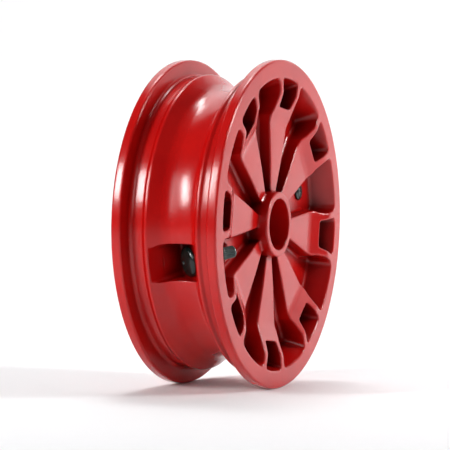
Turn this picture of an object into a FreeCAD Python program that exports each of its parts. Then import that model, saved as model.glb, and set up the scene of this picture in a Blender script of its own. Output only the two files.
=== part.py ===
import FreeCAD, Part

import math
import os

from FreeCAD import Placement, Rotation, Vector

# Cast ten-inch scooter wheel rim, millimetres.
# +Z is up, the wheel spins about Y, and its outer face looks towards -Y.
# The origin is the wheel's centre: on the axis, midway between the flanges.
# A depth is measured from the outer face, into the wheel.

# Rim
WIDTH = 93.3                # over both flanges
FLANGE_R = 140.6
SEAT_R = 126.6              # bead seat of a ten-inch rim
HUMP_R = 128.0              # ridge that holds the bead on its seat
WELL_R = 116.0              # drop centre, outside
WELL_INNER_R = 111.0        # drop centre, inside
RING_R = 125.5              # inner edge of the outer face's ring
FLANGE_THICK = 8.6
EDGE_ROUND = 2.0

# Web, the wall behind the spokes
WEB_FRONT = 21.1            # depth of its outer face
WEB_THICK = 6.0
WEB_R = 107.0               # where it meets the rim
WEB_BACK = WEB_FRONT + WEB_THICK

# Hub
HUB_FRONT = 3.0             # depth of the tube's lip
HUB_LIP_R = 27.7
HUB_R = 29.0
HUB_BACK = 64.0
RECESS_R = 22.1             # recess for the axle nut
RECESS_END = 36.5
BUSH_R = 15.0               # seat of the splined bush

# Splined bush
BUSH_BACK = 65.0
PILOT_R = 11.0              # plain bore that centres the axle
PILOT_LENGTH = 9.0
SPLINE_ROOT_R = 9.9
SPLINE_TIP_R = 8.9
SPLINE_TEETH = 22

# Brake drum
LINER_R = 65.0              # rubbing face of the brake liner
LINER_OUTER_R = 69.0
DRUM_R = 74.5
DRUM_BACK = 62.0

# Spokes
SPOKES = 8
SPOKE_START = -5.0          # degrees, the first spoke from +X towards +Z
BLADE_DEPTH = 9.7           # depth of the blades' flat faces
HUB_END_DEPTH = 10.7        # the faces fall to this at the hub
CREASE_R = 53.0             # where that fall starts
RAMP_START_R = 86.5         # the face rises from here
RAMP_END_R = 111.5          # and is flush with the ring from here
WINDOW_R = 100.0            # inner edge of the small window in the fork
DRAFT = 1.2                 # how much wider a spoke is at the web

# Valve and the plug opposite
VALVE_ANGLE = 197.5         # degrees from +X towards +Z
VALVE_SLOPE = 42.0          # degrees, from the radius towards the outer face
VALVE_SEAT_R = 103.6        # where the valve's axis meets its seat
VALVE_SEAT_DEPTH = 39.6
VALVE_HOLE_R = 8.0
VALVE_WALL = 4.0            # metal under the valve's base
POCKET_WIDTH = 32.0
POCKET_SHIFT = -2.1         # the pocket's middle lies a little above the valve's axis
POCKET_LOW = 16.5           # the seat's reach from the valve's axis, inwards
POCKET_HIGH = 14.0          # and towards the outer face
BOSS_WALL = 5.5
PLUG_ANGLE = 18.8
PLUG_PLACE_R = 89.5
PLUG_HEAD_R = 7.4
PLUG_HOLE_R = 5.8


def rounded_face(corners, place):
    """A face inside an outline of (x, y, radius) corners, each corner rounded."""
    starts = []
    middles = []
    ends = []
    for i, (x, y, radius) in enumerate(corners):
        here = Vector(x, y, 0)
        back = Vector(corners[i - 1][0], corners[i - 1][1], 0) - here
        following = corners[(i + 1) % len(corners)]
        ahead = Vector(following[0], following[1], 0) - here
        back.normalize()
        ahead.normalize()
        half = back.getAngle(ahead) / 2
        reach = radius / math.tan(half)
        starts.append(here + back * reach)
        ends.append(here + ahead * reach)
        inward = back + ahead
        if radius > 0:
            inward.normalize()
            inward = inward * (radius / math.sin(half) - radius)
        middles.append(here + inward)
    edges = []
    for i, (x, y, radius) in enumerate(corners):
        if radius > 0:
            arc = Part.Arc(place(starts[i]), place(middles[i]), place(ends[i]))
            edges.append(arc.toShape())
        following = starts[(i + 1) % len(corners)]
        if ends[i].distanceToPoint(following) > 1e-4:
            edges.append(Part.makeLine(place(ends[i]), place(following)))
    return Part.Face(Part.Wire(edges))


def at_depth(point):
    """From (radius, depth) to a place in the plane of X and Y."""
    return Vector(point.x, point.y - WIDTH / 2, 0)


def turned(corners):
    """A solid turned about the wheel's axis from (radius, depth, round) corners."""
    face = rounded_face(corners, at_depth)
    return face.revolve(Vector(0, 0, 0), Vector(0, 1, 0), 360)


def ring(inner, outer, front, back, rounding=0.0):
    return turned([(inner, front, rounding), (outer, front, rounding),
                   (outer, back, rounding), (inner, back, rounding)])


def swung(shape, degrees):
    """A copy turned about the wheel's axis, from +X towards +Z."""
    copy = shape.copy()
    copy.rotate(Vector(0, 0, 0), Vector(0, -1, 0), degrees)
    return copy


def valve_axis():
    """Where the valve's axis meets its seat, and its direction towards the cap."""
    seat = Vector(VALVE_SEAT_R, VALVE_SEAT_DEPTH - WIDTH / 2, 0)
    slope = math.radians(VALVE_SLOPE)
    direction = Vector(-math.cos(slope), -math.sin(slope), 0)
    turn = Rotation(Vector(0, -1, 0), VALVE_ANGLE)
    return turn.multVec(seat), turn.multVec(direction)


def on_valve_axis(shape):
    """Moves a shape made along +Z, with its seat plane at 0, to the valve."""
    seat, direction = valve_axis()
    shape.Placement = Placement(seat, Rotation(Vector(0, 0, 1), direction))
    return shape


def turned_on_z(corners):
    """A solid turned about Z from (radius, height, round) corners."""
    face = rounded_face(corners, lambda point: Vector(point.x, 0, point.y))
    return face.revolve(Vector(0, 0, 0), Vector(0, 0, 1), 360)


def valve_part(corners):
    return on_valve_axis(turned_on_z(corners))


def valve_drill(radius, start, end):
    drill = Part.makeCylinder(radius, end - start, Vector(0, 0, start))
    return on_valve_axis(drill)


def valve_openings():
    """The valve's hole through its seat, and the wider way out of the web."""
    hole = valve_drill(VALVE_HOLE_R, -20, VALVE_WALL + 1)
    relief = valve_drill(11.5, VALVE_WALL, 17)
    exit_hole = valve_drill(9.0, VALVE_WALL, 48)
    return hole.fuse([relief, exit_hole])


def pocket_outline(grow):
    """The valve's pocket in the (radius, depth) plane, grown into its boss."""
    slope = math.radians(VALVE_SLOPE)
    along = Vector(math.sin(slope), -math.cos(slope), 0)
    seat = Vector(VALVE_SEAT_R, VALVE_SEAT_DEPTH, 0)
    low = seat - along * POCKET_LOW
    high = seat + along * POCKET_HIGH
    corners = [
        (low.x, low.y, 2.5),
        (high.x, high.y, 3.0),
        (132.0, high.y, 0.0),
        (132.0, low.y + (132.0 - low.x) * 0.42, 0.0),
    ]
    face = rounded_face(corners, at_depth)
    if grow > 0:
        face = face.makeOffset2D(grow)
    return face


def pocket_block(grow, rounding):
    """The pocket as a block, rounded where its floor meets its side walls."""
    width = POCKET_WIDTH + 2 * grow
    block = pocket_outline(grow).extrude(Vector(0, 0, width))
    block.translate(Vector(0, 0, -width / 2))
    edges = []
    for edge in block.Edges:
        middle = edge.valueAt((edge.FirstParameter + edge.LastParameter) / 2)
        flat = abs(abs(middle.z) - width / 2) < 0.01
        if flat and middle.x < 131.0 + grow and edge.Length > 0.5:
            edges.append(edge)
    block = block.makeFillet(rounding, edges)
    block.translate(Vector(0, 0, POCKET_SHIFT))
    return swung(block, VALVE_ANGLE)


def boss():
    """The lump behind the web that carries the valve's seat."""
    block = pocket_block(BOSS_WALL, 6.0)
    return block.common(ring(80.0, WELL_R - 1.0, WEB_BACK, 75.0))


def rim():
    flange = FLANGE_R
    back_wall = WIDTH - FLANGE_THICK
    profile = [
        (RING_R, 0.0, 1.4),
        (flange, 0.0, EDGE_ROUND),
        (flange, FLANGE_THICK, EDGE_ROUND),
        (SEAT_R, FLANGE_THICK + 1.8, 3.0),
        (SEAT_R, 19.2, 2.0),
        (HUMP_R, 21.6, 1.4),
        (HUMP_R, 23.6, 1.4),
        (WELL_R, 29.0, 4.0),
        (WELL_R, 55.5, 6.0),
        (HUMP_R, 67.4, 1.2),
        (HUMP_R, 69.2, 1.4),
        (SEAT_R, 71.6, 2.0),
        (SEAT_R, back_wall - 1.8, 3.0),
        (flange, back_wall, EDGE_ROUND),
        (flange, WIDTH, EDGE_ROUND),
        (124.0, WIDTH, 1.5),
        (121.6, 71.5, 6.0),
        (WELL_INNER_R, 59.0, 6.0),
        (WELL_INNER_R, WEB_BACK, 2.5),
        (WEB_R, WEB_BACK, 0.0),
        (WEB_R, WEB_FRONT, 0.0),
        (118.0, WEB_FRONT, 3.0),
    ]
    body = turned(profile).fuse(boss())
    body = body.cut([pocket_block(0.0, 2.0), valve_openings()])
    return body.removeSplitter()


def plug_hole():
    hole = Part.makeCylinder(PLUG_HOLE_R, 60.0, Vector(PLUG_PLACE_R, -60.0, 0), Vector(0, 1, 0))
    return swung(hole, PLUG_ANGLE)


def web():
    disc = ring(HUB_R, WEB_R, WEB_FRONT, WEB_BACK)
    return disc.cut([plug_hole(), valve_openings()])


def hub():
    return turned([
        (RECESS_R, HUB_FRONT, 0.5),
        (HUB_LIP_R, HUB_FRONT, 1.2),
        (HUB_R, WEB_FRONT, 0.0),
        (HUB_R, HUB_BACK, 1.5),
        (BUSH_R, HUB_BACK, 0.0),
        (BUSH_R, RECESS_END, 0.0),
        (RECESS_R, RECESS_END, 1.5),
    ])


def splined_bush():
    """Steel sleeve in the hub: a plain pilot bore, then the spline."""
    body = ring(5.0, BUSH_R, RECESS_END, BUSH_BACK)
    pilot = ring(1.0, PILOT_R, BUSH_BACK - PILOT_LENGTH, BUSH_BACK + 1)
    pitch = 360.0 / SPLINE_TEETH
    points = []
    for i in range(SPLINE_TEETH):
        for radius, share in ((SPLINE_ROOT_R, -0.20), (SPLINE_ROOT_R, 0.20),
                              (SPLINE_TIP_R, 0.32), (SPLINE_TIP_R, 0.68)):
            angle = math.radians((i + share) * pitch)
            points.append(Vector(radius * math.cos(angle), 0, radius * math.sin(angle)))
    spline = Part.Face(Part.makePolygon(points + [points[0]]))
    spline.translate(Vector(0, -WIDTH / 2, 0))
    spline = spline.extrude(Vector(0, WIDTH, 0))
    core = Part.makeCylinder(6.0, WIDTH, Vector(0, -WIDTH / 2, 0), Vector(0, 1, 0))
    return body.cut([pilot, spline, core])


def drum_wall():
    return turned([
        (LINER_OUTER_R, WEB_BACK, 0.0),
        (DRUM_R, WEB_BACK, 0.0),
        (DRUM_R, DRUM_BACK, 1.5),
        (LINER_OUTER_R, DRUM_BACK, 0.0),
    ])


def brake_liner():
    return turned([
        (LINER_R, WEB_BACK, 0.0),
        (LINER_OUTER_R, WEB_BACK, 0.0),
        (LINER_OUTER_R, DRUM_BACK, 0.0),
        (LINER_R, DRUM_BACK, 1.0),
    ])


def spoke_outline(grow):
    """The forked spoke along +X, seen from outside, and its fork's window."""
    half = [
        (22.0, 3.7, 0.0),
        (92.5, 20.2, 3.5),
        (98.5, 19.2, 5.0),
        (110.0, 19.8, 14.0),
        (122.0, 23.2, 6.0),
        (131.0, 32.0, 0.0),
    ]
    window = [
        (WINDOW_R, 11.6, 2.6),
        (132.0, 18.9, 0.0),
    ]
    outline = half + [(x, -y, radius) for x, y, radius in reversed(half)]
    opening = window + [(x, -y, radius) for x, y, radius in reversed(window)]
    outer = rounded_face(outline, lambda point: point)
    inner = rounded_face(opening, lambda point: point)
    if grow > 0:
        outer = outer.makeOffset2D(grow)
        inner = inner.makeOffset2D(-grow)
    return outer.OuterWire, inner.OuterWire


def drafted(narrow, wide, front, back):
    """A solid between two outlines at two depths, its sides drafted."""
    wires = []
    for wire, depth in ((narrow, front), (wide, back)):
        copy = wire.copy()
        copy.rotate(Vector(0, 0, 0), Vector(1, 0, 0), 90)
        copy.translate(Vector(0, depth - WIDTH / 2, 0))
        wires.append(copy)
    return Part.makeLoft(wires, True, True)


def spoke_side():
    """The spoke seen from the side: its face falls to the hub and rises to the ring."""
    corners = [
        (20.0, HUB_END_DEPTH, 0.0),
        (CREASE_R, BLADE_DEPTH, 0.0),
        (RAMP_START_R, BLADE_DEPTH, 24.0),
        (RAMP_END_R, 0.0, 16.0),
        (135.0, 0.0, 0.0),
        (135.0, WEB_FRONT, 0.0),
        (20.0, WEB_FRONT, 0.0),
    ]
    block = rounded_face(corners, at_depth).extrude(Vector(0, 0, 80))
    block.translate(Vector(0, 0, -40))
    return block


def spoke_solid(rim_body, hub_body):
    """The first spoke, lying along +X, cut to meet the rim and the hub."""
    outer, inner = spoke_outline(0.0)
    outer_wide, inner_small = spoke_outline(DRAFT)
    body = drafted(outer, outer_wide, -1.0, WEB_FRONT)
    window = drafted(inner, inner_small, -1.0, WEB_FRONT)
    body = body.cut(window).common(spoke_side())
    disc = Part.makeCylinder(RING_R + 0.5, 60.0, Vector(0, -60.0, 0), Vector(0, 1, 0))
    bore = Part.makeCylinder(RECESS_R + 2, 80.0, Vector(0, -60.0, 0), Vector(0, 1, 0))
    return body.common(disc).cut([rim_body, hub_body, bore])


def plug():
    """Rubber plug: a domed head outside and a neck through the web."""
    neck = PLUG_HOLE_R - 0.05
    body = turned_on_z([
        (0.0, -WEB_THICK - 2.6, 0.0),
        (neck - 1.4, -WEB_THICK - 2.6, 0.8),
        (neck, -WEB_THICK + 0.8, 0.0),
        (neck, 0.05, 0.0),
        (PLUG_HEAD_R, 0.05, 0.4),
        (PLUG_HEAD_R, 1.6, 1.0),
        (4.2, 2.8, 3.0),
        (0.0, 3.0, 0.0),
    ])
    body.Placement = Placement(Vector(PLUG_PLACE_R, WEB_FRONT - WIDTH / 2, 0),
                               Rotation(Vector(0, 0, 1), Vector(0, -1, 0)))
    return swung(body, PLUG_ANGLE)


def valve_body():
    """Rubber snap-in valve: base in the well, neck in the hole, bulb and sleeve."""
    neck = VALVE_HOLE_R - 0.05
    return valve_part([
        (1.6, -5.8, 0.0),
        (1.6, -7.0, 0.4),
        (6.0, -6.8, 4.0),
        (13.2, -3.8, 3.4),
        (13.2, -1.6, 0.4),
        (11.0, 0.0, 0.4),
        (neck, 0.0, 0.0),
        (neck, VALVE_WALL, 0.0),
        (9.4, VALVE_WALL + 0.4, 0.4),
        (9.4, VALVE_WALL + 3.4, 1.6),
        (7.5, VALVE_WALL + 9.0, 2.0),
        (6.0, 26.4, 1.2),
        (3.0, 26.4, 0.0),
        (3.0, -5.8, 0.0),
    ])


def valve_stem():
    """Brass tube: bonded in the rubber, threaded at its end for the cap."""
    corners = [
        (1.6, -5.8, 0.0),
        (3.0, -5.8, 0.0),
        (3.0, 26.6, 0.0),
        (3.6, 26.6, 0.0),
    ]
    for i in range(10):
        start = 27.4 + 0.9 * i
        corners += [(3.6, start, 0.0), (3.85, start + 0.2, 0.0),
                    (3.85, start + 0.45, 0.0), (3.6, start + 0.65, 0.0)]
    corners += [
        (3.6, 37.0, 0.3),
        (2.55, 37.0, 0.0),
        (2.55, 20.2, 0.0),
        (1.6, 19.2, 0.0),
    ]
    return valve_part(corners)


def core_barrel():
    """Brass barrel of the valve core: threaded head, then a neck for the seal."""
    return valve_part([
        (0.9, 20.8, 0.0),
        (1.7, 20.8, 0.0),
        (1.7, 26.6, 0.0),
        (2.5, 27.6, 0.0),
        (2.5, 35.8, 0.0),
        (1.9, 35.8, 0.0),
        (1.9, 28.6, 0.0),
        (0.9, 28.6, 0.0),
    ])


def core_seal():
    return valve_part([(1.75, 21.4, 0.2), (2.5, 21.4, 0.3), (2.5, 24.6, 0.3), (1.75, 24.6, 0.2)])


def core_pin():
    """Steel pin: a head on the spring, and a cup that holds the plunger's seal."""
    return valve_part([
        (0.0, 17.4, 0.0),
        (1.4, 17.4, 0.2),
        (1.4, 19.4, 0.0),
        (0.6, 19.4, 0.0),
        (0.6, 35.2, 0.0),
        (1.6, 35.2, 0.0),
        (1.6, 35.8, 0.0),
        (0.8, 36.0, 0.0),
        (0.8, 36.8, 0.2),
        (0.0, 36.8, 0.0),
    ])


def plunger_seal():
    return valve_part([(0.7, 19.45, 0.0), (1.5, 19.45, 0.2), (1.5, 20.75, 0.2), (0.7, 20.75, 0.0)])


def core_spring():
    """Coil spring between the barrel's shoulder and the pin's head."""
    wire_r = 0.2
    coil_r = 1.3
    low = 28.6 + wire_r
    high = 35.2 - wire_r
    helix = Part.makeHelix((high - low) / 6, high - low, coil_r)
    section = Part.Wire(Part.makeCircle(wire_r, Vector(coil_r, 0, 0), Vector(0, 1, 0.12)))
    coil = Part.Wire(helix.Edges).makePipeShell([section], True, False)
    coil.translate(Vector(0, 0, low))
    return on_valve_axis(coil)


def valve_cap():
    """Rubber-covered cap with flutes along its sides."""
    outer = 5.1
    shell = turned_on_z([
        (3.95, 27.0, 0.0),
        (outer, 27.0, 0.5),
        (outer, 39.5, 2.5),
        (0.0, 39.5, 0.0),
        (0.0, 38.4, 0.0),
        (3.95, 38.4, 0.0),
    ])
    flutes = []
    for i in range(18):
        angle = math.radians(20.0 * i)
        place = Vector((outer + 0.25) * math.cos(angle), (outer + 0.25) * math.sin(angle), 28.2)
        flutes.append(Part.makeCylinder(0.55, 9.0, place))
    return on_valve_axis(shell.cut(flutes))


def cap_seal():
    return valve_part([(0.9, 37.1, 0.0), (3.7, 37.1, 0.0), (3.7, 38.35, 0.0), (0.9, 38.35, 0.0)])


def main():
    os.makedirs("parts", exist_ok=True)
    rim_body = rim()
    hub_body = hub()
    pieces = {
        "rim": rim_body,
        "web": web(),
        "hub": hub_body,
        "drum_wall": drum_wall(),
        "brake_liner": brake_liner(),
        "splined_bush": splined_bush(),
        "plug": plug(),
        "valve_body": valve_body(),
        "valve_stem": valve_stem(),
        "core_barrel": core_barrel(),
        "core_seal": core_seal(),
        "core_pin": core_pin(),
        "plunger_seal": plunger_seal(),
        "core_spring": core_spring(),
        "valve_cap": valve_cap(),
        "cap_seal": cap_seal(),
    }
    spoke = spoke_solid(rim_body, hub_body)
    for i in range(SPOKES):
        pieces[f"spoke_{i + 1}"] = swung(spoke, SPOKE_START + i * 360.0 / SPOKES)
    for name, shape in pieces.items():
        print(f"{name}: {len(shape.Solids)} solid, valid {shape.isValid()}, {shape.Volume:.1f} mm3")
        shape.exportStep(f"parts/{name}.step")


main()
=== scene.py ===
import math

import bmesh
import bpy
from bpy.props import FloatProperty, FloatVectorProperty, PointerProperty
from mathutils import Matrix, Vector


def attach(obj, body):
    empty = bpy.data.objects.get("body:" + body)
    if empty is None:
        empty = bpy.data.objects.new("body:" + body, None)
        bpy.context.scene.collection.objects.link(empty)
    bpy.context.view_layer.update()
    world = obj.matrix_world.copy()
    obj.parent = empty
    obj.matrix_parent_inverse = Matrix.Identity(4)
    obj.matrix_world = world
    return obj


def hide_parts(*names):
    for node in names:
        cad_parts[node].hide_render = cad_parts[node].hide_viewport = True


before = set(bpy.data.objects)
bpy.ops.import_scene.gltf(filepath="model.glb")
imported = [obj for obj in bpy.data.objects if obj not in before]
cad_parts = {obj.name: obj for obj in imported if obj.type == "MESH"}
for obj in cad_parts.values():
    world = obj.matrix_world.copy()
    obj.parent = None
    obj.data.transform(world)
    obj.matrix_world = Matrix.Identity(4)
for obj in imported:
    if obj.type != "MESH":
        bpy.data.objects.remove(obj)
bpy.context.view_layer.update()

bl_info = {
    "name": "Cast Scooter Wheel",
    "version": (1, 0, 0),
    "blender": (4, 5, 0),
    "location": "View3D > Sidebar > Wheel",
    "description": "Builds a cast scooter wheel around its engineering frame",
    "category": "Object",
}

# Shapes are modelled in millimetres with the outer face up, then laid into the frame.
# A depth is measured from the outer face into the wheel.
MM = 0.001
ROUND_STEPS = 128                   # sides of a turned shape
SMALL_STEPS = 72                    # and of a small one
SHARP = math.radians(40)            # edges bent more than this are shaded sharp

# the outer face
SPOKES = 8
SECTOR = math.pi / SPOKES           # from a spoke's middle to its pocket's middle
FACE_EDGE_R = 138.6                 # where the outer face starts to round over
RING_R = 125.5                      # the ring's inner edge
FLOOR_RING_R = 117.3                # the pocket floor's outer edge
CONE_START_R = 106.0                # outlines shrink towards the floor from here
WINDOW_R = 100.0                    # where the window in a spoke's fork starts
WINDOW_LIMIT = 18.0                 # no window reaches this far from its spoke's middle
WINDOW_NARROWS = 0.94               # its width at the floor against that at the face
WINDOW_LEAN = 6.0                   # its end leans out by a sixth of the way to the cone's start
DRAFT = 1.2                         # what a pocket's wall leans by down to the floor
RAMP_SLOPE = 0.388
RAMP_IN = (82.0, 91.0)              # where the blade curves into its ramp
RAMP_OUT = (108.5, 114.5)           # and the ramp into the ring
RAMP_STEPS = 4                      # steps across each of those curves
CREASE_X = 53.0                     # a spoke's face is level from here to its ramp
BLADE_DEPTH = 9.7
HUB_END_DEPTH = 10.6
HUB_END_X = 24.0                    # where the face would come down to that depth
WEB_FRONT = 21.1
WEB_BACK = 27.1

# the turned shape
FLANGE_DEPTH = 8.6                  # a flange's thickness at its edge
SEAT_R = 126.6                      # where the tyre's bead sits
HUMP_R = 128.0                      # the ridge that keeps the bead on its seat
WELL_R = 116.8
RIM_INSIDE_R = 111.0
DRUM_R = (69.0, 74.5)               # the drum wall's inside and outside
DRUM_END = 62.0
HUB_WALL_R = 28.6                   # the hub tube where the spokes meet it
HUB_BACK_R = 29.0                   # and behind the web
HUB_BORE_R = 22.1
HUB_BORE_END = 36.5
HUB_LIP_DEPTH = 3.0
BUSH_R = 15.1                       # the hole that holds the splined bush
HUB_END = 64.0

# the valve's pocket and seat, and the plug
VALVE_SEAT = (103.6, 39.6)          # radius and depth
VALVE_SLOPE = math.radians(42.0)
POCKET_WIDTH = 32.0
POCKET_SHIFT = -2.1                 # the pocket's middle lies above the valve's axis
POCKET_ROUND = 3.5
POCKET_LOW = 16.5                   # from the valve's axis to the pocket's inner end
POCKET_HIGH = 14.0                  # and to its outer end
POCKET_FLARE = 0.42                 # how the inner end opens towards the well
POCKET_OUT_R = 140.0                # clear of the well, where the cutting block ends
BOSS_WALL = 5.5
BOSS_TOP_R = 112.0
BOSS_ROUND = 5.0
PLUG_PLACE_R = 89.5
PLUG_HOLE_R = 5.8

# the dust cap
CAP_FLUTES = 18
FLUTE_SHARE = 0.15                  # how deep a flute is, of the cap's radius
FLUTE_START = 28.6                  # heights over the valve's seat
FLUTE_END = 38.4
CAP_INSIDE_R = 4.2

# the stage, in metres, and the camera's turn in degrees
CAMERA_PLACE = (-1.584, -0.693, 0.018)
CAMERA_TURN = (89.338, -1.480, -66.133)
PAPER_REACH = 9.0                   # of studio paper, to either side
PAPER_CURVE = 2.2                   # behind the wheel, where the paper curves up


# ---------------------------------------------------------------- settings

class WheelSizes(bpy.types.PropertyGroup):
    """Sizes that a user may change."""
    width: FloatProperty(
        name="Width", description="Over both flanges",
        default=0.0933, min=0.05, subtype="DISTANCE", unit="LENGTH")
    flange_radius: FloatProperty(
        name="Flange radius", description="From the axle to the flanges' edge",
        default=0.1406, min=0.1, subtype="DISTANCE", unit="LENGTH")
    edge_round: FloatProperty(
        name="Edge rounding", description="Radius of the spokes' outer edges",
        default=0.0011, min=0.0, subtype="DISTANCE", unit="LENGTH")
    floor_fillet: FloatProperty(
        name="Floor fillet", description="Radius between the pockets' walls and floors",
        default=0.0026, min=0.0, subtype="DISTANCE", unit="LENGTH")
    hub_fillet: FloatProperty(
        name="Hub fillet", description="Radius where a spoke's face meets the hub tube",
        default=0.0016, min=0.0, subtype="DISTANCE", unit="LENGTH")
    first_spoke: FloatProperty(
        name="First spoke", description="Its angle above the horizontal",
        default=math.radians(-5.0), subtype="ANGLE", unit="ROTATION")
    valve_angle: FloatProperty(
        name="Valve angle", description="The valve's place round the wheel",
        default=math.radians(197.5), subtype="ANGLE", unit="ROTATION")
    plug_angle: FloatProperty(
        name="Plug angle", description="The plug's place round the wheel",
        default=math.radians(18.8), subtype="ANGLE", unit="ROTATION")


class WheelFinish(bpy.types.PropertyGroup):
    """Colours and surface values that a user may change."""
    coat: FloatVectorProperty(
        name="Powder coat", description="Colour of the coated casting",
        default=(0.50, 0.004, 0.003), size=3, min=0.0, max=1.0, subtype="COLOR")
    coat_dark: FloatVectorProperty(
        name="Powder coat, thick", description="Colour where the coat lies thicker",
        default=(0.44, 0.002, 0.002), size=3, min=0.0, max=1.0, subtype="COLOR")
    # painted shade: the coat's colour where shade falls deep in the pockets and hollows
    coat_painted_shade: FloatVectorProperty(
        name="Powder coat, hollows", description="Colour deep in the pockets",
        default=(0.10, 0.0005, 0.0005), size=3, min=0.0, max=1.0, subtype="COLOR")
    dust: FloatVectorProperty(
        name="Dust", description="Colour of the specks on the coat",
        default=(0.62, 0.20, 0.17), size=3, min=0.0, max=1.0, subtype="COLOR")
    rubber: FloatVectorProperty(
        name="Rubber", description="Colour of the moulded rubber",
        default=(0.002, 0.007, 0.006), size=3, min=0.0, max=1.0, subtype="COLOR")
    floor: FloatVectorProperty(
        name="Floor", description="Colour of the studio floor",
        default=(0.86, 0.86, 0.87), size=3, min=0.0, max=1.0, subtype="COLOR")
    peel_size: FloatProperty(
        name="Orange peel", description="Waviness size of the powder coat",
        default=0.0035, min=0.0005, subtype="DISTANCE", unit="LENGTH")


# ---------------------------------------------------------------- shaping

def polar(radius, angle):
    """The x and y of a place given by its radius and angle."""
    return radius * math.cos(angle), radius * math.sin(angle)


def to_wheel(turn=0.0):
    """From modelling millimetres, outer face up, to the frame in metres."""
    width = bpy.context.scene.wheel_sizes.width
    lay = Matrix.Rotation(math.radians(90), 4, "X") @ Matrix.Rotation(turn, 4, "Z")
    return Matrix.Translation((0, -width / 2, 0)) @ Matrix.Scale(MM, 4) @ lay


def chain(bm, corners, closed=False):
    """Edges through (x, y, radius) corners, each corner rounded to its radius."""
    places = [Vector((x, y, 0)) for x, y, _ in corners]
    verts = [bm.verts.new(place) for place in places]
    for a, b in zip(verts, verts[1:]):
        bm.edges.new((a, b))
    if closed:
        bm.edges.new((verts[-1], verts[0]))
    for i, (x, y, radius) in enumerate(corners):
        if radius <= 0:
            continue
        back = places[i - 1] - places[i]
        ahead = places[(i + 1) % len(places)] - places[i]
        inside = back.angle(ahead)
        bmesh.ops.bevel(
            bm, geom=[verts[i]], offset=radius / math.tan(inside / 2), affect="VERTICES",
            segments=max(2, round((math.pi - inside) * max(4.5, radius / 4))),
            profile=0.5, material=-1)


def arc(bm, radius, start, end, steps):
    """Edges along a circle about the axle, from one angle to another."""
    first = bm.verts.new((*polar(radius, start), 0))
    bmesh.ops.spin(
        bm, geom=[first], cent=(0, 0, 0), axis=(0, 0, 1), dvec=(0, 0, 0),
        angle=end - start, steps=steps, use_merge=False, use_normal_flip=False,
        use_duplicate=False)


def line(bm, start, end):
    """One straight edge."""
    bm.edges.new((bm.verts.new((*start, 0)), bm.verts.new((*end, 0))))


def stand_up(bm, sign):
    """Turns a drawing's Y into height; a sign of -1 makes it a depth."""
    upright = Matrix(((1, 0, 0, 0), (0, 0, 1, 0), (0, sign, 0, 0), (0, 0, 0, 1)))
    bmesh.ops.transform(bm, matrix=upright, verts=bm.verts[:])


def turned(corners, sign=1, steps=SMALL_STEPS):
    """A shape turned about Z from (radius, height, rounding) corners."""
    bm = bmesh.new()
    chain(bm, corners)
    stand_up(bm, sign)
    bmesh.ops.spin(
        bm, geom=bm.verts[:] + bm.edges[:], cent=(0, 0, 0), axis=(0, 0, 1),
        dvec=(0, 0, 0), angle=math.tau, steps=steps, use_merge=True,
        use_normal_flip=False, use_duplicate=False)
    bmesh.ops.remove_doubles(bm, verts=bm.verts[:], dist=0.004)
    bmesh.ops.recalc_face_normals(bm, faces=bm.faces[:])
    return bm


def slice_across(bm, place, normal, clear_outer=False):
    """Cuts every face at a plane and returns the cut; may drop what lies beyond."""
    return bmesh.ops.bisect_plane(
        bm, geom=bm.verts[:] + bm.edges[:] + bm.faces[:], dist=0.001, plane_co=place,
        plane_no=normal, clear_outer=clear_outer)["geom_cut"]


def of_kind(geometry, kind):
    """The verts or the edges among what an operator returned."""
    return [item for item in geometry if isinstance(item, kind)]


def append(bm, other):
    """Adds another bmesh's shape to bm and frees the other."""
    mesh = bpy.data.meshes.new("part")
    other.to_mesh(mesh)
    other.free()
    bm.from_mesh(mesh)
    bpy.data.meshes.remove(mesh)


def mark_sharp(bm):
    """Shades everything smooth, apart from its sharp edges."""
    for edge in bm.edges:
        edge.smooth = not (edge.is_manifold and edge.calc_face_angle() > SHARP)
    for face in bm.faces:
        face.smooth = True


def make_object(name, bm, matrix):
    """An object at the origin from a bmesh, its place in its mesh."""
    bmesh.ops.transform(bm, matrix=matrix, verts=bm.verts[:])
    mark_sharp(bm)
    mesh = bpy.data.meshes.new(name)
    bm.to_mesh(mesh)
    bm.free()
    obj = bpy.data.objects.new(name, mesh)
    bpy.context.scene.collection.objects.link(obj)
    return obj


def combine(obj, steps):
    """Adds or cuts other bodies, given as (operation, bmesh, matrix)."""
    helpers = []
    for operation, bm, matrix in steps:
        helper = make_object("helper", bm, matrix)
        helpers.append(helper)
        modifier = obj.modifiers.new(operation.title(), "BOOLEAN")
        modifier.operation = operation
        modifier.object = helper
        modifier.solver = "EXACT"
    graph = bpy.context.evaluated_depsgraph_get()
    mesh = bpy.data.meshes.new_from_object(obj.evaluated_get(graph))
    obj.modifiers.clear()
    old = obj.data
    obj.data = mesh
    bpy.data.meshes.remove(old)
    for helper in helpers:
        data = helper.data
        bpy.data.objects.remove(helper)
        bpy.data.meshes.remove(data)


def even_shading(obj):
    """Lets the large faces set the shading beside their rounded edges."""
    modifier = obj.modifiers.new("Weighted Normal", "WEIGHTED_NORMAL")
    modifier.keep_sharp = True
    modifier.weight = 80


def dress(obj, material):
    """Gives an object its one finish."""
    obj.data.materials.clear()
    obj.data.materials.append(material)


# ---------------------------------------------------------------- materials

def new_group(name, inputs, outputs):
    """A shader node group with its sockets; returns it with its two ends."""
    group = bpy.data.node_groups.new(name, "ShaderNodeTree")
    for label, kind, default in inputs:
        socket = group.interface.new_socket(label, in_out="INPUT", socket_type=kind)
        socket.default_value = default
    for label, kind in outputs:
        group.interface.new_socket(label, in_out="OUTPUT", socket_type=kind)
    start = group.nodes.new("NodeGroupInput")
    end = group.nodes.new("NodeGroupOutput")
    return group, start, end


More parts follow.
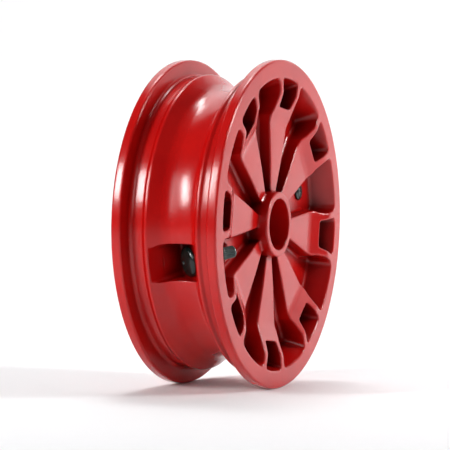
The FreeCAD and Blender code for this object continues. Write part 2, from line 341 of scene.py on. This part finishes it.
def math_node(tree, operation, *values):
    """A sum or test of values, each a number or another node's output."""
    node = tree.nodes.new("ShaderNodeMath")
    node.operation = operation
    for socket, value in zip(node.inputs, values):
        if isinstance(value, bpy.types.NodeSocket):
            tree.links.new(value, socket)
        else:
            socket.default_value = value
    return node.outputs[0]


def noise(tree, vector, scale, detail=2.0):
    """Soft noise from 0 to 1; the scale is a number or a node's output."""
    node = tree.nodes.new("ShaderNodeTexNoise")
    tree.links.new(vector, node.inputs["Vector"])
    if isinstance(scale, bpy.types.NodeSocket):
        tree.links.new(scale, node.inputs["Scale"])
    else:
        node.inputs["Scale"].default_value = scale
    node.inputs["Detail"].default_value = detail
    return node.outputs["Fac"]


def ramp_node(tree, value, low, high):
    """0 below low, 1 above high, smooth between."""
    node = tree.nodes.new("ShaderNodeMapRange")
    node.interpolation_type = "SMOOTHSTEP"
    tree.links.new(value, node.inputs["Value"])
    node.inputs["From Min"].default_value = low
    node.inputs["From Max"].default_value = high
    return node.outputs["Result"]


def peel_group():
    """Waviness of a sprayed or powdered coat, as a height from 0 to 1."""
    group, start, end = new_group(
        "Coat Waviness",
        [("Scale", "NodeSocketFloat", 280.0), ("Fine", "NodeSocketFloat", 0.3)],
        [("Height", "NodeSocketFloat")])
    coords = group.nodes.new("ShaderNodeTexCoord")
    wide = noise(group, coords.outputs["Object"], start.outputs["Scale"], 1.0)
    finer = math_node(group, "MULTIPLY", start.outputs["Scale"], 3.1)
    fine = noise(group, coords.outputs["Object"], finer, 1.0)
    fine = math_node(group, "MULTIPLY", fine, start.outputs["Fine"])
    group.links.new(math_node(group, "ADD", wide, fine), end.inputs["Height"])
    return group


def speck_group():
    """Sparse specks of dust and small pits, as a mask."""
    group, start, end = new_group(
        "Dust Specks",
        [("Scale", "NodeSocketFloat", 240.0), ("Size", "NodeSocketFloat", 0.07),
         ("Share", "NodeSocketFloat", 0.62)],
        [("Mask", "NodeSocketFloat")])
    coords = group.nodes.new("ShaderNodeTexCoord")
    cells = group.nodes.new("ShaderNodeTexVoronoi")
    group.links.new(coords.outputs["Object"], cells.inputs["Vector"])
    group.links.new(start.outputs["Scale"], cells.inputs["Scale"])
    near = math_node(group, "LESS_THAN", cells.outputs["Distance"], start.outputs["Size"])
    patches = noise(group, coords.outputs["Object"], 38.0, 1.0)
    kept = math_node(group, "GREATER_THAN", patches, start.outputs["Share"])
    group.links.new(math_node(group, "MULTIPLY", near, kept), end.inputs["Mask"])
    return group


def lathe_group():
    """Fine turning lines round the axle, as a height."""
    group, start, end = new_group(
        "Turning Lines", [("Scale", "NodeSocketFloat", 900.0)],
        [("Height", "NodeSocketFloat")])
    coords = group.nodes.new("ShaderNodeTexCoord")
    parts = group.nodes.new("ShaderNodeSeparateXYZ")
    group.links.new(coords.outputs["Object"], parts.inputs[0])
    squares = math_node(
        group, "ADD", math_node(group, "MULTIPLY", parts.outputs["X"], parts.outputs["X"]),
        math_node(group, "MULTIPLY", parts.outputs["Z"], parts.outputs["Z"]))
    radius = math_node(group, "SQRT", squares)
    place = group.nodes.new("ShaderNodeCombineXYZ")
    group.links.new(radius, place.inputs["X"])
    group.links.new(parts.outputs["Y"], place.inputs["Y"])
    lines = noise(group, place.outputs[0], start.outputs["Scale"], 2.0)
    group.links.new(lines, end.inputs["Height"])
    return group


def group_node(tree, group, **values):
    """A shared effect placed in a material with that material's values."""
    node = tree.nodes.new("ShaderNodeGroup")
    node.node_tree = group
    for label, value in values.items():
        node.inputs[label].default_value = value
    return node


def start_material(name):
    """A new material; returns its node tree and its Principled shader."""
    material = bpy.data.materials.new(name)
    material.use_nodes = True
    tree = material.node_tree
    return tree, tree.nodes["Principled BSDF"]


def colour_mix(tree, share, first, second):
    """From the first colour to the second, each a colour or another mix."""
    mix = tree.nodes.new("ShaderNodeMix")
    mix.data_type = "RGBA"
    tree.links.new(share, mix.inputs["Factor"])
    for label, colour in (("A", first), ("B", second)):
        if isinstance(colour, bpy.types.NodeSocket):
            tree.links.new(colour, mix.inputs[label])
        else:
            mix.inputs[label].default_value = (*colour, 1)
    return mix.outputs["Result"]


def vary_colour(tree, shader, share, first, second):
    """The surface's colour, from the first to the second."""
    tree.links.new(colour_mix(tree, share, first, second), shader.inputs["Base Color"])


def vary_roughness(tree, shader, value, low, high):
    """The surface's roughness, from low to high."""
    node = tree.nodes.new("ShaderNodeMapRange")
    tree.links.new(value, node.inputs["Value"])
    node.inputs["To Min"].default_value = low
    node.inputs["To Max"].default_value = high
    tree.links.new(node.outputs["Result"], shader.inputs["Roughness"])


def add_bump(tree, shader, height, distance, strength=1.0, edge=0.0):
    """A bump; with an edge radius, sharp edges are shaded as rounded."""
    bump = tree.nodes.new("ShaderNodeBump")
    if edge > 0:
        soft = tree.nodes.new("ShaderNodeBevel")
        soft.inputs["Radius"].default_value = edge
        tree.links.new(soft.outputs["Normal"], bump.inputs["Normal"])
    bump.inputs["Distance"].default_value = distance
    bump.inputs["Strength"].default_value = strength
    tree.links.new(height, bump.inputs["Height"])
    tree.links.new(bump.outputs["Normal"], shader.inputs["Normal"])


def coat_material(finish, groups):
    """Gloss red powder coat over a casting, with painted shade: darker and less glossy deep in
    its hollows.
    """
    tree, shader = start_material("Red Powder Coat")
    shader.inputs["IOR"].default_value = 1.5
    coords = tree.nodes.new("ShaderNodeTexCoord")
    clouds = noise(tree, coords.outputs["Object"], 24.0, 3.0)
    clean = colour_mix(tree, ramp_node(tree, clouds, 0.35, 0.7), finish.coat,
                       finish.coat_dark)
    specks = group_node(tree, groups["specks"], Scale=260.0, Size=0.055, Share=0.66)
    faint = math_node(tree, "MULTIPLY", specks.outputs["Mask"], 0.5)
    dusty = colour_mix(tree, faint, clean, finish.dust)
    # painted shade: ambient occlusion darkens the colour and lowers the specular level deep in
    # the hollows, where shade falls
    hollow = tree.nodes.new("ShaderNodeAmbientOcclusion")
    hollow.samples = 8
    hollow.only_local = True
    hollow.inputs["Distance"].default_value = 0.03
    unshaded_share = ramp_node(tree, hollow.outputs["AO"], 0.3, 0.85)
    vary_colour(tree, shader, unshaded_share, finish.coat_painted_shade, dusty)
    gloss = math_node(tree, "MULTIPLY_ADD", unshaded_share, 0.38, 0.12)
    tree.links.new(gloss, shader.inputs["Specular IOR Level"])
    vary_roughness(tree, shader, noise(tree, coords.outputs["Object"], 60.0), 0.15, 0.24)
    peel = group_node(tree, groups["peel"], Scale=1.0 / finish.peel_size, Fine=0.25)
    bumps = math_node(tree, "ADD", peel.outputs["Height"],
                      math_node(tree, "MULTIPLY", specks.outputs["Mask"], 0.8))
    add_bump(tree, shader, bumps, 0.00004, edge=0.0018)


def rubber_material(finish, groups):
    """Moulded black rubber with a wet gloss."""
    tree, shader = start_material("Moulded Rubber")
    coords = tree.nodes.new("ShaderNodeTexCoord")
    clouds = noise(tree, coords.outputs["Object"], 160.0, 3.0)
    lighter = [value * 1.8 for value in finish.rubber]
    vary_colour(tree, shader, ramp_node(tree, clouds, 0.45, 0.75), finish.rubber, lighter)
    vary_roughness(tree, shader, clouds, 0.10, 0.2)
    peel = group_node(tree, groups["peel"], Scale=900.0, Fine=0.5)
    add_bump(tree, shader, peel.outputs["Height"], 0.00003)


def plastic_material(groups):
    """Satin black plastic of the dust cap."""
    tree, shader = start_material("Cap Plastic")
    coords = tree.nodes.new("ShaderNodeTexCoord")
    clouds = noise(tree, coords.outputs["Object"], 300.0, 2.0)
    vary_colour(tree, shader, clouds, (0.045, 0.075, 0.07), (0.11, 0.15, 0.145))
    vary_roughness(tree, shader, clouds, 0.14, 0.26)
    peel = group_node(tree, groups["peel"], Scale=2200.0, Fine=0.6)
    add_bump(tree, shader, peel.outputs["Height"], 0.00002)


def lined_material(name, groups, first, second, roughness, lines=900.0, depth=0.00002,
                   metallic=1.0):
    """Turned, drawn or moulded with fine lines round the axle; metal if not told."""
    tree, shader = start_material(name)
    shader.inputs["Metallic"].default_value = metallic
    turning = group_node(tree, groups["lathe"], Scale=lines)
    vary_colour(tree, shader, turning.outputs["Height"], first, second)
    vary_roughness(tree, shader, turning.outputs["Height"], *roughness)
    add_bump(tree, shader, turning.outputs["Height"], depth)


def floor_material(finish):
    """Matt studio paper."""
    tree, shader = start_material("Studio Paper")
    coords = tree.nodes.new("ShaderNodeTexCoord")
    grain = noise(tree, coords.outputs["Object"], 90.0, 4.0)
    vary_colour(tree, shader, grain, finish.floor, [c * 0.985 for c in finish.floor])
    vary_roughness(tree, shader, grain, 0.75, 0.9)
    add_bump(tree, shader, grain, 0.0001, 0.3)


def material(name):
    """The finish of that name."""
    return bpy.data.materials[name]


class WHEEL_OT_materials(bpy.types.Operator):
    """Build every finish of the wheel and its stage"""
    bl_idname = "wheel.materials"
    bl_label = "Finishes"

    def execute(self, context):
        finish = context.scene.wheel_finish
        groups = {"peel": peel_group(), "specks": speck_group(), "lathe": lathe_group()}
        coat_material(finish, groups)
        rubber_material(finish, groups)
        plastic_material(groups)
        lined_material("Brass", groups, (0.72, 0.53, 0.25), (0.80, 0.62, 0.33), (0.18, 0.32))
        lined_material("Grey Iron", groups, (0.22, 0.21, 0.20), (0.36, 0.35, 0.34),
                       (0.28, 0.5), lines=1400.0, depth=0.00004)
        lined_material("Steel", groups, (0.46, 0.46, 0.47), (0.62, 0.62, 0.63), (0.2, 0.36))
        lined_material("Seal Rubber", groups, (0.05, 0.012, 0.012), (0.09, 0.02, 0.02),
                       (0.5, 0.7), metallic=0.0)
        floor_material(finish)
        return {"FINISHED"}


# ---------------------------------------------------------------- the casting

def blade_depth(x):
    """Depth of a spoke's face at a distance along the spoke."""
    if x < CREASE_X:
        return BLADE_DEPTH + (HUB_END_DEPTH - BLADE_DEPTH) * (CREASE_X - x) / (
            CREASE_X - HUB_END_X)
    if x < RAMP_IN[0]:
        return BLADE_DEPTH
    if x < RAMP_IN[1]:
        return BLADE_DEPTH - RAMP_SLOPE * (x - RAMP_IN[0]) ** 2 / (2 * (RAMP_IN[1] - RAMP_IN[0]))
    if x < RAMP_OUT[0]:
        return RAMP_SLOPE * ((RAMP_OUT[0] + RAMP_OUT[1]) / 2 - x)
    if x < RAMP_OUT[1]:
        return RAMP_SLOPE * (RAMP_OUT[1] - x) ** 2 / (2 * (RAMP_OUT[1] - RAMP_OUT[0]))
    return 0.0


def floor_point(x, y):
    """Where an outline's point comes down on the floor, for draft and the rim's cone."""
    radius, angle = math.hypot(x, y), math.atan2(y, x)
    if radius < HUB_WALL_R + 0.5:
        return x, y
    in_window = x > WINDOW_R - 1 and y < WINDOW_LIMIT
    share = max(0.0, (radius - CONE_START_R) / (RING_R - CONE_START_R))
    if radius > CONE_START_R:
        radius = CONE_START_R + share * (FLOOR_RING_R - CONE_START_R)
    if in_window:
        x, y = polar(radius, angle * WINDOW_NARROWS)
        return x + max(0.0, CONE_START_R - x) / WINDOW_LEAN, y
    return polar(radius, angle + DRAFT / radius * (1.0 - min(share, 1.0)))


def half_sector():
    """Half of one spoke's share of the outer face, with its walls and floors."""
    bm = bmesh.new()
    step = SECTOR / 8
    hub_corner = polar(HUB_WALL_R, 4 * step)
    arc(bm, HUB_WALL_R, 0, 4 * step, 4)
    arc(bm, FACE_EDGE_R, 0, SECTOR, 8)
    arc(bm, RING_R, 6 * step, SECTOR, 2)
    arc(bm, RING_R, 0, step, 1)
    chain(bm, [
        (*hub_corner, 0),
        (92.5, 20.2, 3.5),
        (98.5, 19.2, 5.0),
        (110.0, 19.8, 14.0),
        (*polar(RING_R, math.radians(11.0)), 6.0),
        (*polar(RING_R, 6 * step), 0)])
    chain(bm, [
        (WINDOW_R, 0, 0),
        (WINDOW_R, 11.6, 3.0),
        (*polar(RING_R, math.radians(7.85)), 3.6),
        (*polar(RING_R, step), 0)])
    line(bm, (HUB_WALL_R, 0), (WINDOW_R, 0))
    line(bm, (RING_R, 0), (FACE_EDGE_R, 0))
    line(bm, polar(RING_R, SECTOR), polar(FACE_EDGE_R, SECTOR))
    bmesh.ops.remove_doubles(bm, verts=bm.verts[:], dist=0.002)
    bmesh.ops.contextual_create(bm, geom=bm.edges[:])
    stations = [CREASE_X]
    for start, end in (RAMP_IN, RAMP_OUT):
        stations += [start + (end - start) * i / RAMP_STEPS for i in range(RAMP_STEPS + 1)]
    for x in stations:
        slice_across(bm, (x, 0, 0), (1, 0, 0))
    arc(bm, HUB_WALL_R, 4 * step, SECTOR, 4)
    for vert in bm.verts:
        inner = vert.co.xy.length < HUB_WALL_R + 0.1
        vert.co.z = -(HUB_END_DEPTH if inner else blade_depth(vert.co.x))
    bmesh.ops.remove_doubles(bm, verts=bm.verts[:], dist=0.25)

    def on_border(vert):
        x, y = vert.co.xy
        radius = math.hypot(x, y)
        angle = math.atan2(y, x)
        on_line = abs(y) < 0.01 or abs(angle - SECTOR) < 0.0002
        on_hub = radius < HUB_WALL_R + 0.1 and angle < 4.1 * step
        return on_line or on_hub or radius > FACE_EDGE_R - 0.1

    walls = [e for e in bm.edges
             if len(e.link_faces) < 2 and not all(map(on_border, e.verts))]
    made = bmesh.ops.extrude_edge_only(bm, edges=walls)["geom"]
    feet = of_kind(made, bmesh.types.BMVert)
    rims = [edge for edge in of_kind(made, bmesh.types.BMEdge)
            if all(vert in feet for vert in edge.verts)]
    for vert in feet:
        vert.co.x, vert.co.y = floor_point(vert.co.x, vert.co.y)
        vert.co.z = -WEB_FRONT
    for in_window in (True, False):
        loop = [e for e in rims
                if all((v.co.x > WINDOW_R and v.co.y < WINDOW_LIMIT - 0.5) == in_window
                       for v in e.verts)]
        ends = [v for v in {v for e in loop for v in e.verts}
                if sum(v in e.verts for e in loop) == 1]
        loop.append(bm.edges.new(ends))
        bmesh.ops.contextual_create(bm, geom=loop)
    return bm


def back_profile(sizes):
    """The rest of the casting, from the outer face's edge round to the hub."""
    width = sizes.width / MM
    flange = sizes.flange_radius / MM
    wall = width - FLANGE_DEPTH
    return [
        (FACE_EDGE_R, 0.0, 0),
        (flange, 0.0, 1.95),
        (flange, FLANGE_DEPTH, 2.0),
        (SEAT_R, FLANGE_DEPTH + 1.8, 3.0),
        (SEAT_R, 19.2, 2.0),
        (HUMP_R, 21.6, 1.4),
        (HUMP_R, 23.6, 1.4),
        (WELL_R, 28.6, 8.0),
        (WELL_R - 2.4, 42.2, 50.0),
        (WELL_R, 56.3, 16.0),
        (HUMP_R, 67.4, 1.2),
        (HUMP_R, 69.2, 0.8),
        (SEAT_R, 71.6, 1.6),
        (SEAT_R, wall - 1.8, 3.0),
        (flange, wall, 2.0),
        (flange, width, 2.0),
        (124.0, width, 1.5),
        (121.6, 71.5, 6.0),
        (RIM_INSIDE_R, 59.0, 6.0),
        (RIM_INSIDE_R, WEB_BACK, 3.0),
        (DRUM_R[1], WEB_BACK, 3.0),
        (DRUM_R[1], DRUM_END, 1.5),
        (DRUM_R[0], DRUM_END, 0.0),
        (DRUM_R[0], WEB_BACK, 0.0),
        (HUB_BACK_R, WEB_BACK, 3.0),
        (HUB_BACK_R, HUB_END, 1.5),
        (BUSH_R, HUB_END, 0.6),
        (BUSH_R, HUB_BORE_END, 0.0),
        (HUB_BORE_R, HUB_BORE_END, 1.5),
        (HUB_BORE_R, HUB_LIP_DEPTH, 0.5),
        (27.7, HUB_LIP_DEPTH, 1.2),
        (HUB_WALL_R, HUB_END_DEPTH, 0.0),
    ]


def pocket_corners(grow):
    """The valve pocket seen from the side, as (radius, depth, rounding) corners."""
    along = Vector((math.sin(VALVE_SLOPE), -math.cos(VALVE_SLOPE)))
    seat = Vector(VALVE_SEAT) - Vector((math.cos(VALVE_SLOPE), math.sin(VALVE_SLOPE))) * grow
    low = seat - along * (POCKET_LOW + grow)
    high = seat + along * (POCKET_HIGH + grow * 0.5)
    return [
        (low.x, low.y, 2.5 + grow),
        (high.x, high.y, 3.0 + grow),
        (POCKET_OUT_R, high.y, 0.0),
        (POCKET_OUT_R, low.y + (POCKET_OUT_R - low.x) * POCKET_FLARE, 0.0),
    ]


def block_from_side(corners, width, rounding):
    """A block with that side view, rounded along its two sides' edges."""
    bm = bmesh.new()
    chain(bm, corners, closed=True)
    face = bmesh.ops.contextual_create(bm, geom=bm.edges[:])["faces"]
    stand_up(bm, -1)
    bmesh.ops.translate(bm, vec=(0, POCKET_SHIFT - width / 2, 0), verts=bm.verts[:])
    made = bmesh.ops.extrude_face_region(bm, geom=face)["geom"]
    far = of_kind(made, bmesh.types.BMVert)
    bmesh.ops.translate(bm, vec=(0, width, 0), verts=far)
    bmesh.ops.recalc_face_normals(bm, faces=bm.faces[:])
    edges = [e for e in bm.edges
             if abs(e.verts[0].co.y - e.verts[1].co.y) < 0.01
             and min(v.co.x for v in e.verts) < POCKET_OUT_R - 1]
    bmesh.ops.bevel(
        bm, geom=edges, offset=rounding, offset_type="OFFSET", affect="EDGES",
        segments=5, profile=0.5, clamp_overlap=False, material=-1)
    return bm


def valve_place():
    """From shapes modelled along +Z, seat at 0, to the valve's place in the frame."""
    sizes = bpy.context.scene.wheel_sizes
    turn = sizes.valve_angle
    radius, depth = VALVE_SEAT
    seat = Vector((radius, 0, -depth))
    direction = Vector((-math.cos(VALVE_SLOPE), 0, math.sin(VALVE_SLOPE)))
    aim = Vector((0, 0, 1)).rotation_difference(direction).to_matrix().to_4x4()
    return to_wheel(turn) @ Matrix.Translation(seat) @ aim


def plug_place():
    """From shapes modelled along +Z, seat at 0, to the plug's place in the frame."""
    turn = bpy.context.scene.wheel_sizes.plug_angle
    return to_wheel(turn) @ Matrix.Translation((PLUG_PLACE_R, 0, -WEB_FRONT))


def drill(radius, start, end):
    """A round bar from one height to another, to cut a hole with."""
    bm = bmesh.new()
    bmesh.ops.create_circle(bm, cap_ends=True, radius=radius, segments=48)
    bmesh.ops.translate(bm, vec=(0, 0, start), verts=bm.verts[:])
    made = bmesh.ops.extrude_face_region(bm, geom=bm.faces[:])["geom"]
    far = of_kind(made, bmesh.types.BMVert)
    bmesh.ops.translate(bm, vec=(0, 0, end - start), verts=far)
    bmesh.ops.recalc_face_normals(bm, faces=bm.faces[:])
    return bm


def valve_boss():
    """The lump behind the web that carries the valve's seat."""
    width = POCKET_WIDTH + 2 * BOSS_WALL
    bm = block_from_side(pocket_corners(BOSS_WALL), width, BOSS_ROUND)
    for place, normal in (((BOSS_TOP_R, 0, 0), (1, 0, 0)), ((0, 0, -WEB_BACK + 1), (0, 0, 1))):
        cut = slice_across(bm, place, normal, clear_outer=True)
        bmesh.ops.contextual_create(bm, geom=of_kind(cut, bmesh.types.BMEdge))
    bmesh.ops.recalc_face_normals(bm, faces=bm.faces[:])
    return bm


class WHEEL_OT_casting(bpy.types.Operator):
    """Build the coated casting: rim, web, forked spokes and drum wall"""
    bl_idname = "wheel.casting"
    bl_label = "Casting"

    def execute(self, context):
        sizes = context.scene.wheel_sizes
        bm = half_sector()
        bmesh.ops.mirror(
            bm, geom=bm.verts[:] + bm.edges[:] + bm.faces[:], matrix=Matrix(),
            merge_dist=0.002, axis="Y")
        bmesh.ops.spin(
            bm, geom=bm.verts[:] + bm.edges[:] + bm.faces[:], cent=(0, 0, 0),
            axis=(0, 0, 1), dvec=(0, 0, 0), angle=math.tau * (SPOKES - 1) / SPOKES,
            steps=SPOKES - 1, use_merge=False, use_normal_flip=False, use_duplicate=True)
        append(bm, turned(back_profile(sizes), sign=-1, steps=ROUND_STEPS))
        bmesh.ops.remove_doubles(bm, verts=bm.verts[:], dist=0.01)
        bmesh.ops.recalc_face_normals(bm, faces=bm.faces[:])
        open_edges = sum(not e.is_manifold for e in bm.edges)
        if open_edges:
            raise RuntimeError(f"the casting has {open_edges} open edges")
        self.round_edges(bm, sizes)
        obj = make_object("casting", bm, to_wheel(sizes.first_spoke))
        valve = valve_place()
        lying = to_wheel(sizes.valve_angle)
        combine(obj, [
            ("UNION", valve_boss(), lying),
            ("DIFFERENCE", block_from_side(pocket_corners(0.0), POCKET_WIDTH, POCKET_ROUND),
             lying),
            ("DIFFERENCE", drill(8.0, -8, 5), valve),
            ("DIFFERENCE", drill(11.5, 4.0, 17), valve),
            ("DIFFERENCE", drill(9.0, 4.5, 40), valve),
            ("DIFFERENCE", drill(PLUG_HOLE_R, -10, 4), plug_place()),
        ])
        final = bmesh.new()
        final.from_mesh(obj.data)
        mark_sharp(final)
        final.to_mesh(obj.data)
        final.free()
        even_shading(obj)
        dress(obj, material("Red Powder Coat"))
        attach(obj, "wheel")
        spokes = [f"spoke_{i + 1}" for i in range(SPOKES)]
        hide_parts("rim", "web", "hub", "drum_wall", *spokes)
        return {"FINISHED"}

    def round_edges(self, bm, sizes):
        """Fillets the pockets' floors and the hub, then rounds the face's edges."""
        def edges_at(test):
            found = []
            for edge in bm.edges:
                if len(edge.link_faces) != 2:
                    continue
                slopes = sorted(abs(face.normal.z) for face in edge.link_faces)
                if slopes[0] < 0.8 and slopes[1] > 0.85:
                    if all(test(vert.co.xy.length, vert.co.z) for vert in edge.verts):
                        found.append(edge)
            return found

        def bevel(edges, size, segments):
            bmesh.ops.bevel(
                bm, geom=edges, offset=size / MM, offset_type="OFFSET", affect="EDGES",
                segments=segments, profile=0.5, clamp_overlap=False, loop_slide=True,
                material=-1)

        at_hub = HUB_WALL_R + 0.1
        in_ring = RING_R + 0.5
        bevel(edges_at(lambda r, z: r < in_ring and abs(z + WEB_FRONT) < 0.01),
              sizes.floor_fillet, 4)
        bevel(edges_at(lambda r, z: r < at_hub and abs(z + HUB_END_DEPTH) < 0.01),
              sizes.hub_fillet, 3)
        bevel(edges_at(lambda r, z: at_hub < r < in_ring and z > -HUB_END_DEPTH - 0.1),
              sizes.edge_round, 3)


def flute(bm):
    """Presses flutes into the cap's side, running out at both their ends."""
    for level in (FLUTE_START, 29.2, 29.8, 35.8, 36.4):
        slice_across(bm, (0, 0, level), (0, 0, 1))
    for vert in bm.verts:
        rise = max(0.0, (vert.co.z - FLUTE_START) / 1.2)
        fall = max(0.0, (FLUTE_END - vert.co.z) / 2)
        reach = min(1.0, rise, fall)
        if vert.co.xy.length > CAP_INSIDE_R and reach > 0:
            wave = 0.5 - 0.5 * math.cos(CAP_FLUTES * math.atan2(vert.co.y, vert.co.x))
            vert.co.xy *= 1 - FLUTE_SHARE * reach * wave


class WHEEL_OT_valve(bpy.types.Operator):
    """Build the valve's rubber and its fluted dust cap"""
    bl_idname = "wheel.valve"
    bl_label = "Valve"

    def execute(self, context):
        place = valve_place()
        body = turned([
            (0.0, -6.1, 0.0),
            (1.3, -6.1, 0.3),
            (1.8, -6.95, 0.5),
            (6.0, -6.8, 6.0),
            (13.2, -3.8, 3.4),
            (13.2, -1.6, 0.5),
            (11.0, 0.0, 0.5),
            (7.95, 0.0, 0.0),
            (7.95, 4.0, 0.0),
            (9.4, 4.4, 0.4),
            (9.4, 7.4, 1.6),
            (7.5, 13.0, 2.0),
            (6.0, 26.4, 1.2),
            (3.05, 26.4, 0.0),
            (3.05, -5.75, 0.0),
            (0.0, -5.75, 0.0),
        ])
        rubber = make_object("valve_rubber", body, place)
        dress(rubber, material("Moulded Rubber"))
        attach(rubber, "wheel")
        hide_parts("valve_body")
        cover = turned([
            (0.0, 39.5, 0.0),
            (5.1, 39.5, 2.4),
            (5.1, 36.4, 0.0),
            (5.1, 29.2, 0.0),
            (5.1, 27.0, 0.5),
            (3.95, 27.0, 0.2),
            (3.95, 38.4, 0.4),
            (0.0, 38.4, 0.0),
        ], steps=CAP_FLUTES * 8)
        flute(cover)
        cap = make_object("cap_cover", cover, place)
        dress(cap, material("Cap Plastic"))
        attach(cap, "cap")
        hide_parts("valve_cap")
        return {"FINISHED"}


class WHEEL_OT_plug(bpy.types.Operator):
    """Build the rubber plug with its ringed head"""
    bl_idname = "wheel.plug"
    bl_label = "Plug"

    def execute(self, context):
        neck = PLUG_HOLE_R - 0.05
        web = WEB_BACK - WEB_FRONT
        body = turned([
            (0.0, -web - 2.6, 0.0),
            (neck - 1.4, -web - 2.6, 0.8),
            (neck, 0.8 - web, 0.3),
            (neck, 0.05, 0.0),
            (7.4, 0.05, 0.4),
            (7.4, 1.6, 1.0),
            (5.4, 2.35, 0.5),
            (4.9, 2.1, 0.4),
            (4.2, 2.8, 0.8),
            (1.9, 2.95, 0.4),
            (1.4, 2.2, 0.4),
            (0.0, 2.1, 0.0),
        ])
        plug = make_object("plug_rubber", body, plug_place())
        dress(plug, material("Moulded Rubber"))
        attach(plug, "plug")
        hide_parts("plug")
        return {"FINISHED"}


class WHEEL_OT_fittings(bpy.types.Operator):
    """Finish the drum's liner, the bush, the valve's metal parts and its seals"""
    bl_idname = "wheel.fittings"
    bl_label = "Fittings"

    def execute(self, context):
        finishes = {
            "brake_liner": "Grey Iron", "splined_bush": "Steel", "valve_stem": "Brass",
            "core_barrel": "Brass", "core_seal": "Seal Rubber", "core_pin": "Steel",
            "plunger_seal": "Seal Rubber", "core_spring": "Steel", "cap_seal": "Seal Rubber",
        }
        for node, name in finishes.items():
            dress(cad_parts[node], material(name))
        return {"FINISHED"}


# ---------------------------------------------------------------- the stage

def aimed_light(name, place, target, size, power, height=None, spread=180):
    """A softbox turned to its target; square if it's given no height."""
    data = bpy.data.lights.new(name, "AREA")
    data.shape = "RECTANGLE"
    data.size = size
    data.size_y = height or size
    data.energy = power
    data.spread = math.radians(spread)
    lamp = bpy.data.objects.new(name, data)
    lamp.location = place
    lamp.rotation_euler = (Vector(target) - Vector(place)).to_track_quat("-Z", "Y").to_euler()
    bpy.context.scene.collection.objects.link(lamp)


def studio_paper(ground):
    """A sheet of paper that lies under the wheel and curves up behind it."""
    bm = bmesh.new()
    chain(bm, [(-4.0, 0.0, 0), (PAPER_CURVE, 0.0, 1.2), (PAPER_CURVE, 4.5, 0)])
    made = bmesh.ops.extrude_edge_only(bm, edges=bm.edges[:])["geom"]
    far = of_kind(made, bmesh.types.BMVert)
    bmesh.ops.translate(bm, vec=(0, 0, 2 * PAPER_REACH), verts=far)
    stand = Matrix(((1, 0, 0, 0), (0, 0, -1, PAPER_REACH), (0, 1, 0, 0), (0, 0, 0, 1)))
    aim = Matrix.Rotation(math.atan2(-CAMERA_PLACE[1], -CAMERA_PLACE[0]), 4, "Z")
    paper = make_object("studio_paper", bm, Matrix.Translation((0, 0, ground)) @ aim @ stand)
    dress(paper, material("Studio Paper"))


class WHEEL_OT_stage(bpy.types.Operator):
    """Build the floor, the lights and the camera"""
    bl_idname = "wheel.stage"
    bl_label = "Stage"

    def execute(self, context):
        scene = context.scene
        studio_paper(-scene.wheel_sizes.flange_radius)
        world = bpy.data.worlds.new("Studio")
        world.use_nodes = True
        background = world.node_tree.nodes["Background"]
        background.inputs["Color"].default_value = (1, 1, 1, 1)
        background.inputs["Strength"].default_value = 0.07
        scene.world = world
        aimed_light("face_softbox", (1.9, -0.84, 0.05), (0, 0, 0), 2.2, 11.0)
        aimed_light("face_key", (1.0, -1.8, 0.9), (0, 0, 0), 0.5, 37.0)
        aimed_light("window", (-1.76, 0.98, 0.88), (0, 0, 0), 0.36, 3.2, 0.8, 60)
        aimed_light("left_fill", (-1.95, 0.10, 0.8), (0, 0, 0), 1.2, 2.0, 1.2, 60)
        aimed_light("overhead", (0.9, 0.5, 2.2), (0.4, 0.2, 0), 1.4, 9.0)
        aimed_light("paper_light", (1.0, 0.45, 2.6), (2.2, 0.95, 0.4), 1.0, 44.0)
        camera = bpy.data.cameras.new("Camera")
        camera.lens = 160.0
        camera.sensor_width = 36.0
        camera.clip_end = 50.0
        view = bpy.data.objects.new("Camera", camera)
        view.location = CAMERA_PLACE
        view.rotation_euler = [math.radians(angle) for angle in CAMERA_TURN]
        scene.collection.objects.link(view)
        scene.camera = view
        scene.view_settings.view_transform = "Standard"
        return {"FINISHED"}


class WHEEL_PT_panel(bpy.types.Panel):
    """Lists the wheel's sizes, finishes and pieces"""
    bl_label = "Cast Scooter Wheel"
    bl_idname = "WHEEL_PT_panel"
    bl_space_type = "VIEW_3D"
    bl_region_type = "UI"
    bl_category = "Wheel"

    def draw(self, context):
        column = self.layout.column()
        for group in (context.scene.wheel_sizes, context.scene.wheel_finish):
            for name in group.bl_rna.properties.keys():
                if name not in ("rna_type", "name"):
                    column.prop(group, name)
        for operator in OPERATORS:
            column.operator(operator.bl_idname)


OPERATORS = (WHEEL_OT_materials, WHEEL_OT_casting, WHEEL_OT_valve, WHEEL_OT_plug,
             WHEEL_OT_fittings, WHEEL_OT_stage)
CLASSES = (WheelSizes, WheelFinish, *OPERATORS, WHEEL_PT_panel)


def register():
    for cls in CLASSES:
        bpy.utils.register_class(cls)
    bpy.types.Scene.wheel_sizes = PointerProperty(type=WheelSizes)
    bpy.types.Scene.wheel_finish = PointerProperty(type=WheelFinish)


def unregister():
    del bpy.types.Scene.wheel_finish
    del bpy.types.Scene.wheel_sizes
    for cls in reversed(CLASSES):
        bpy.utils.unregister_class(cls)


def main():
    register()
    bpy.ops.wheel.materials()
    bpy.ops.wheel.casting()
    bpy.ops.wheel.valve()
    bpy.ops.wheel.plug()
    bpy.ops.wheel.fittings()
    bpy.ops.wheel.stage()


if __name__ == "__main__":
    main()
